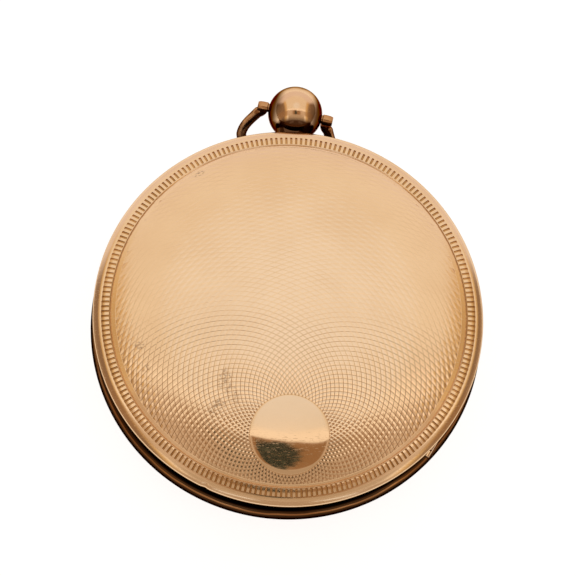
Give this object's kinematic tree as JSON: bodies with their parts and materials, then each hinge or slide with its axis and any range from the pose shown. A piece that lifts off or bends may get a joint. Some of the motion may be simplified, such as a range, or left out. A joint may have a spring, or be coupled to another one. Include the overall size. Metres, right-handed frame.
{
  "type": "verge pocket watch",
  "caption": "Open-face key-wound pocket watch with an engine-turned hinged back, hinged bezel, ball pendant, swinging bow and a fusee verge movement.",
  "frame": {"origin": "middle of the crystal's flat front face, on which the watch lies", "axes": "+Z out of the back cover, +Y from the middle to the pendant, +X to the right seen from the back"},
  "size_m": [0.0546, 0.0619, 0.0162],
  "materials": {
    "engine_turned_gold": "engine-turned and polished yellow gold",
    "copper_gold": "polished red gold, rubbed",
    "crystal_glass": "clear polished",
    "dial_enamel": "white fired enamel",
    "gilt_brass": "frosted fire-gilt",
    "wheel_brass": "grained",
    "polished_steel": "polished",
    "blued_steel": "heat blued",
    "silvered": "silvered, matt"
  },
  "bodies": {
    "case": {"case_band": "copper_gold", "pendant_foot": "copper_gold", "pendant_ball": "copper_gold", "bow_pin": "copper_gold", "dial": "dial_enamel", "dial_foot_pins": "polished_steel", "pillar_plate": "gilt_brass", "pillars": "gilt_brass", "pillar_pins": "polished_steel", "top_plate": "gilt_brass", "case_screws": "blued_steel", "barrel_bridge": "gilt_brass", "barrel_bridge_screws": "blued_steel", "barrel_arbor": "polished_steel", "mainspring": "polished_steel", "setup_ratchet": "polished_steel", "setup_click": "polished_steel", "click_screw": "blued_steel", "potence": "gilt_brass", "counter_potence": "gilt_brass", "balance_spring": "blued_steel", "spring_stud": "polished_steel", "balance_bridge": "gilt_brass", "bridge_screws": "blued_steel", "end_piece": "polished_steel", "rack_slide": "gilt_brass", "fusee_chain": "polished_steel"},
    "cover": {"back_cover": "engine_turned_gold", "cover_hinge_pin": "polished_steel"},
    "front": {"bezel": "copper_gold", "crystal": "crystal_glass", "bezel_hinge_pin": "polished_steel"},
    "bow": {"bow": "copper_gold"},
    "minute_work": {"cannon_pinion": "polished_steel", "minute_hand": "blued_steel"},
    "minute_wheel": {"minute_wheel": "wheel_brass"},
    "hour_work": {"hour_wheel": "wheel_brass", "hour_hand": "blued_steel"},
    "crown": {"crown_wheel": "wheel_brass", "crown_arbor": "polished_steel"},
    "contrate": {"contrate_wheel": "wheel_brass", "contrate_arbor": "polished_steel"},
    "third": {"third_wheel": "wheel_brass", "third_arbor": "polished_steel"},
    "centre": {"centre_wheel": "wheel_brass", "centre_arbor": "polished_steel"},
    "fusee": {"fusee_cone": "wheel_brass", "great_wheel": "wheel_brass", "fusee_arbor": "polished_steel"},
    "barrel": {"barrel": "wheel_brass", "barrel_cover": "wheel_brass"},
    "balance": {"verge_staff": "polished_steel", "balance_wheel": "wheel_brass"},
    "regulator": {"regulator_disc": "silvered", "regulator_arbor": "polished_steel"},
    "rack": {"regulator_rack": "polished_steel"}
  },
  "joints": [
    {"name": "cover_hinge", "type": "hinge", "parent": "case", "child": "cover", "pos_m": [0.02232, -0.01315, 0.0113], "axis": [0.5075, 0.8616, 0], "range_deg": [0, 100]},
    {"name": "bezel_hinge", "type": "hinge", "parent": "case", "child": "front", "pos_m": [0.02232, -0.01315, 0.0072], "axis": [-0.5075, -0.8616, 0], "range_deg": [0, 100]},
    {"name": "bow_swing", "type": "hinge", "parent": "case", "child": "bow", "pos_m": [0.0011, 0.03078, 0.00925], "axis": [0.9781, -0.2079, 0], "range_deg": [-1.5, 243]},
    {"name": "minute_hand_turn", "type": "hinge", "parent": "case", "child": "minute_work", "pos_m": [0, 0, 0.004], "axis": [0, 0, 1], "continuous": true},
    {"name": "minute_wheel_turn", "type": "hinge", "parent": "case", "child": "minute_wheel", "pos_m": [0, -0.0048, 0.0056], "axis": [0, 0, 1], "continuous": true},
    {"name": "hour_hand_turn", "type": "hinge", "parent": "case", "child": "hour_work", "pos_m": [0, 0, 0.0052], "axis": [0, 0, 1], "continuous": true},
    {"name": "crown_wheel_turn", "type": "hinge", "parent": "case", "child": "crown", "pos_m": [-0.00098, -0.01092, 0.0092], "axis": [-0.9336, 0.3584, 0], "continuous": true},
    {"name": "contrate_turn", "type": "hinge", "parent": "case", "child": "contrate", "pos_m": [0.00368, -0.01271, 0.0082], "axis": [0, 0, 1], "continuous": true},
    {"name": "third_turn", "type": "hinge", "parent": "case", "child": "third", "pos_m": [0.00482, -0.00688, 0.0082], "axis": [0, 0, 1], "continuous": true},
    {"name": "centre_turn", "type": "hinge", "parent": "case", "child": "centre", "pos_m": [0, 0, 0.009], "axis": [0, 0, 1], "continuous": true},
    {"name": "fusee_turn", "type": "hinge", "parent": "case", "child": "fusee", "pos_m": [-0.00827, 0.00694, 0.009], "axis": [0, 0, 1], "continuous": true},
    {"name": "barrel_turn", "type": "hinge", "parent": "case", "child": "barrel", "pos_m": [0.00877, 0.0079, 0.009], "axis": [0, 0, 1], "continuous": true, "deforming": ["fusee_chain", "mainspring"]},
    {"name": "balance_swing", "type": "hinge", "parent": "case", "child": "balance", "pos_m": [-0.00444, -0.00959, 0.0128], "axis": [0, 0, 1], "range_deg": [-55, 55], "stiffness_Nm_per_rad": 0.000002, "deforming": ["balance_spring"]},
    {"name": "regulator_turn", "type": "hinge", "parent": "case", "child": "regulator", "pos_m": [0.00628, -0.00569, 0.0124], "axis": [0, 0, 1], "range_deg": [-100, 100]},
    {"name": "rack_turn", "type": "hinge", "parent": "case", "child": "rack", "pos_m": [-0.00444, -0.00959, 0.0123], "axis": [0, 0, 1], "range_deg": [-12, 12]}
  ],
  "couplings": [
    {"joint": "minute_wheel_turn", "follows": "minute_hand_turn", "ratio": -0.33333},
    {"joint": "hour_hand_turn", "follows": "minute_hand_turn", "ratio": 0.083333},
    {"joint": "contrate_turn", "follows": "crown_wheel_turn", "ratio": 0.125},
    {"joint": "third_turn", "follows": "crown_wheel_turn", "ratio": -0.015625},
    {"joint": "centre_turn", "follows": "crown_wheel_turn", "ratio": 0.0017361},
    {"joint": "fusee_turn", "follows": "crown_wheel_turn", "ratio": -0.00043403},
    {"joint": "barrel_turn", "follows": "crown_wheel_turn", "ratio": -0.00028361},
    {"joint": "rack_turn", "follows": "regulator_turn", "ratio": -0.11765}
  ]
}
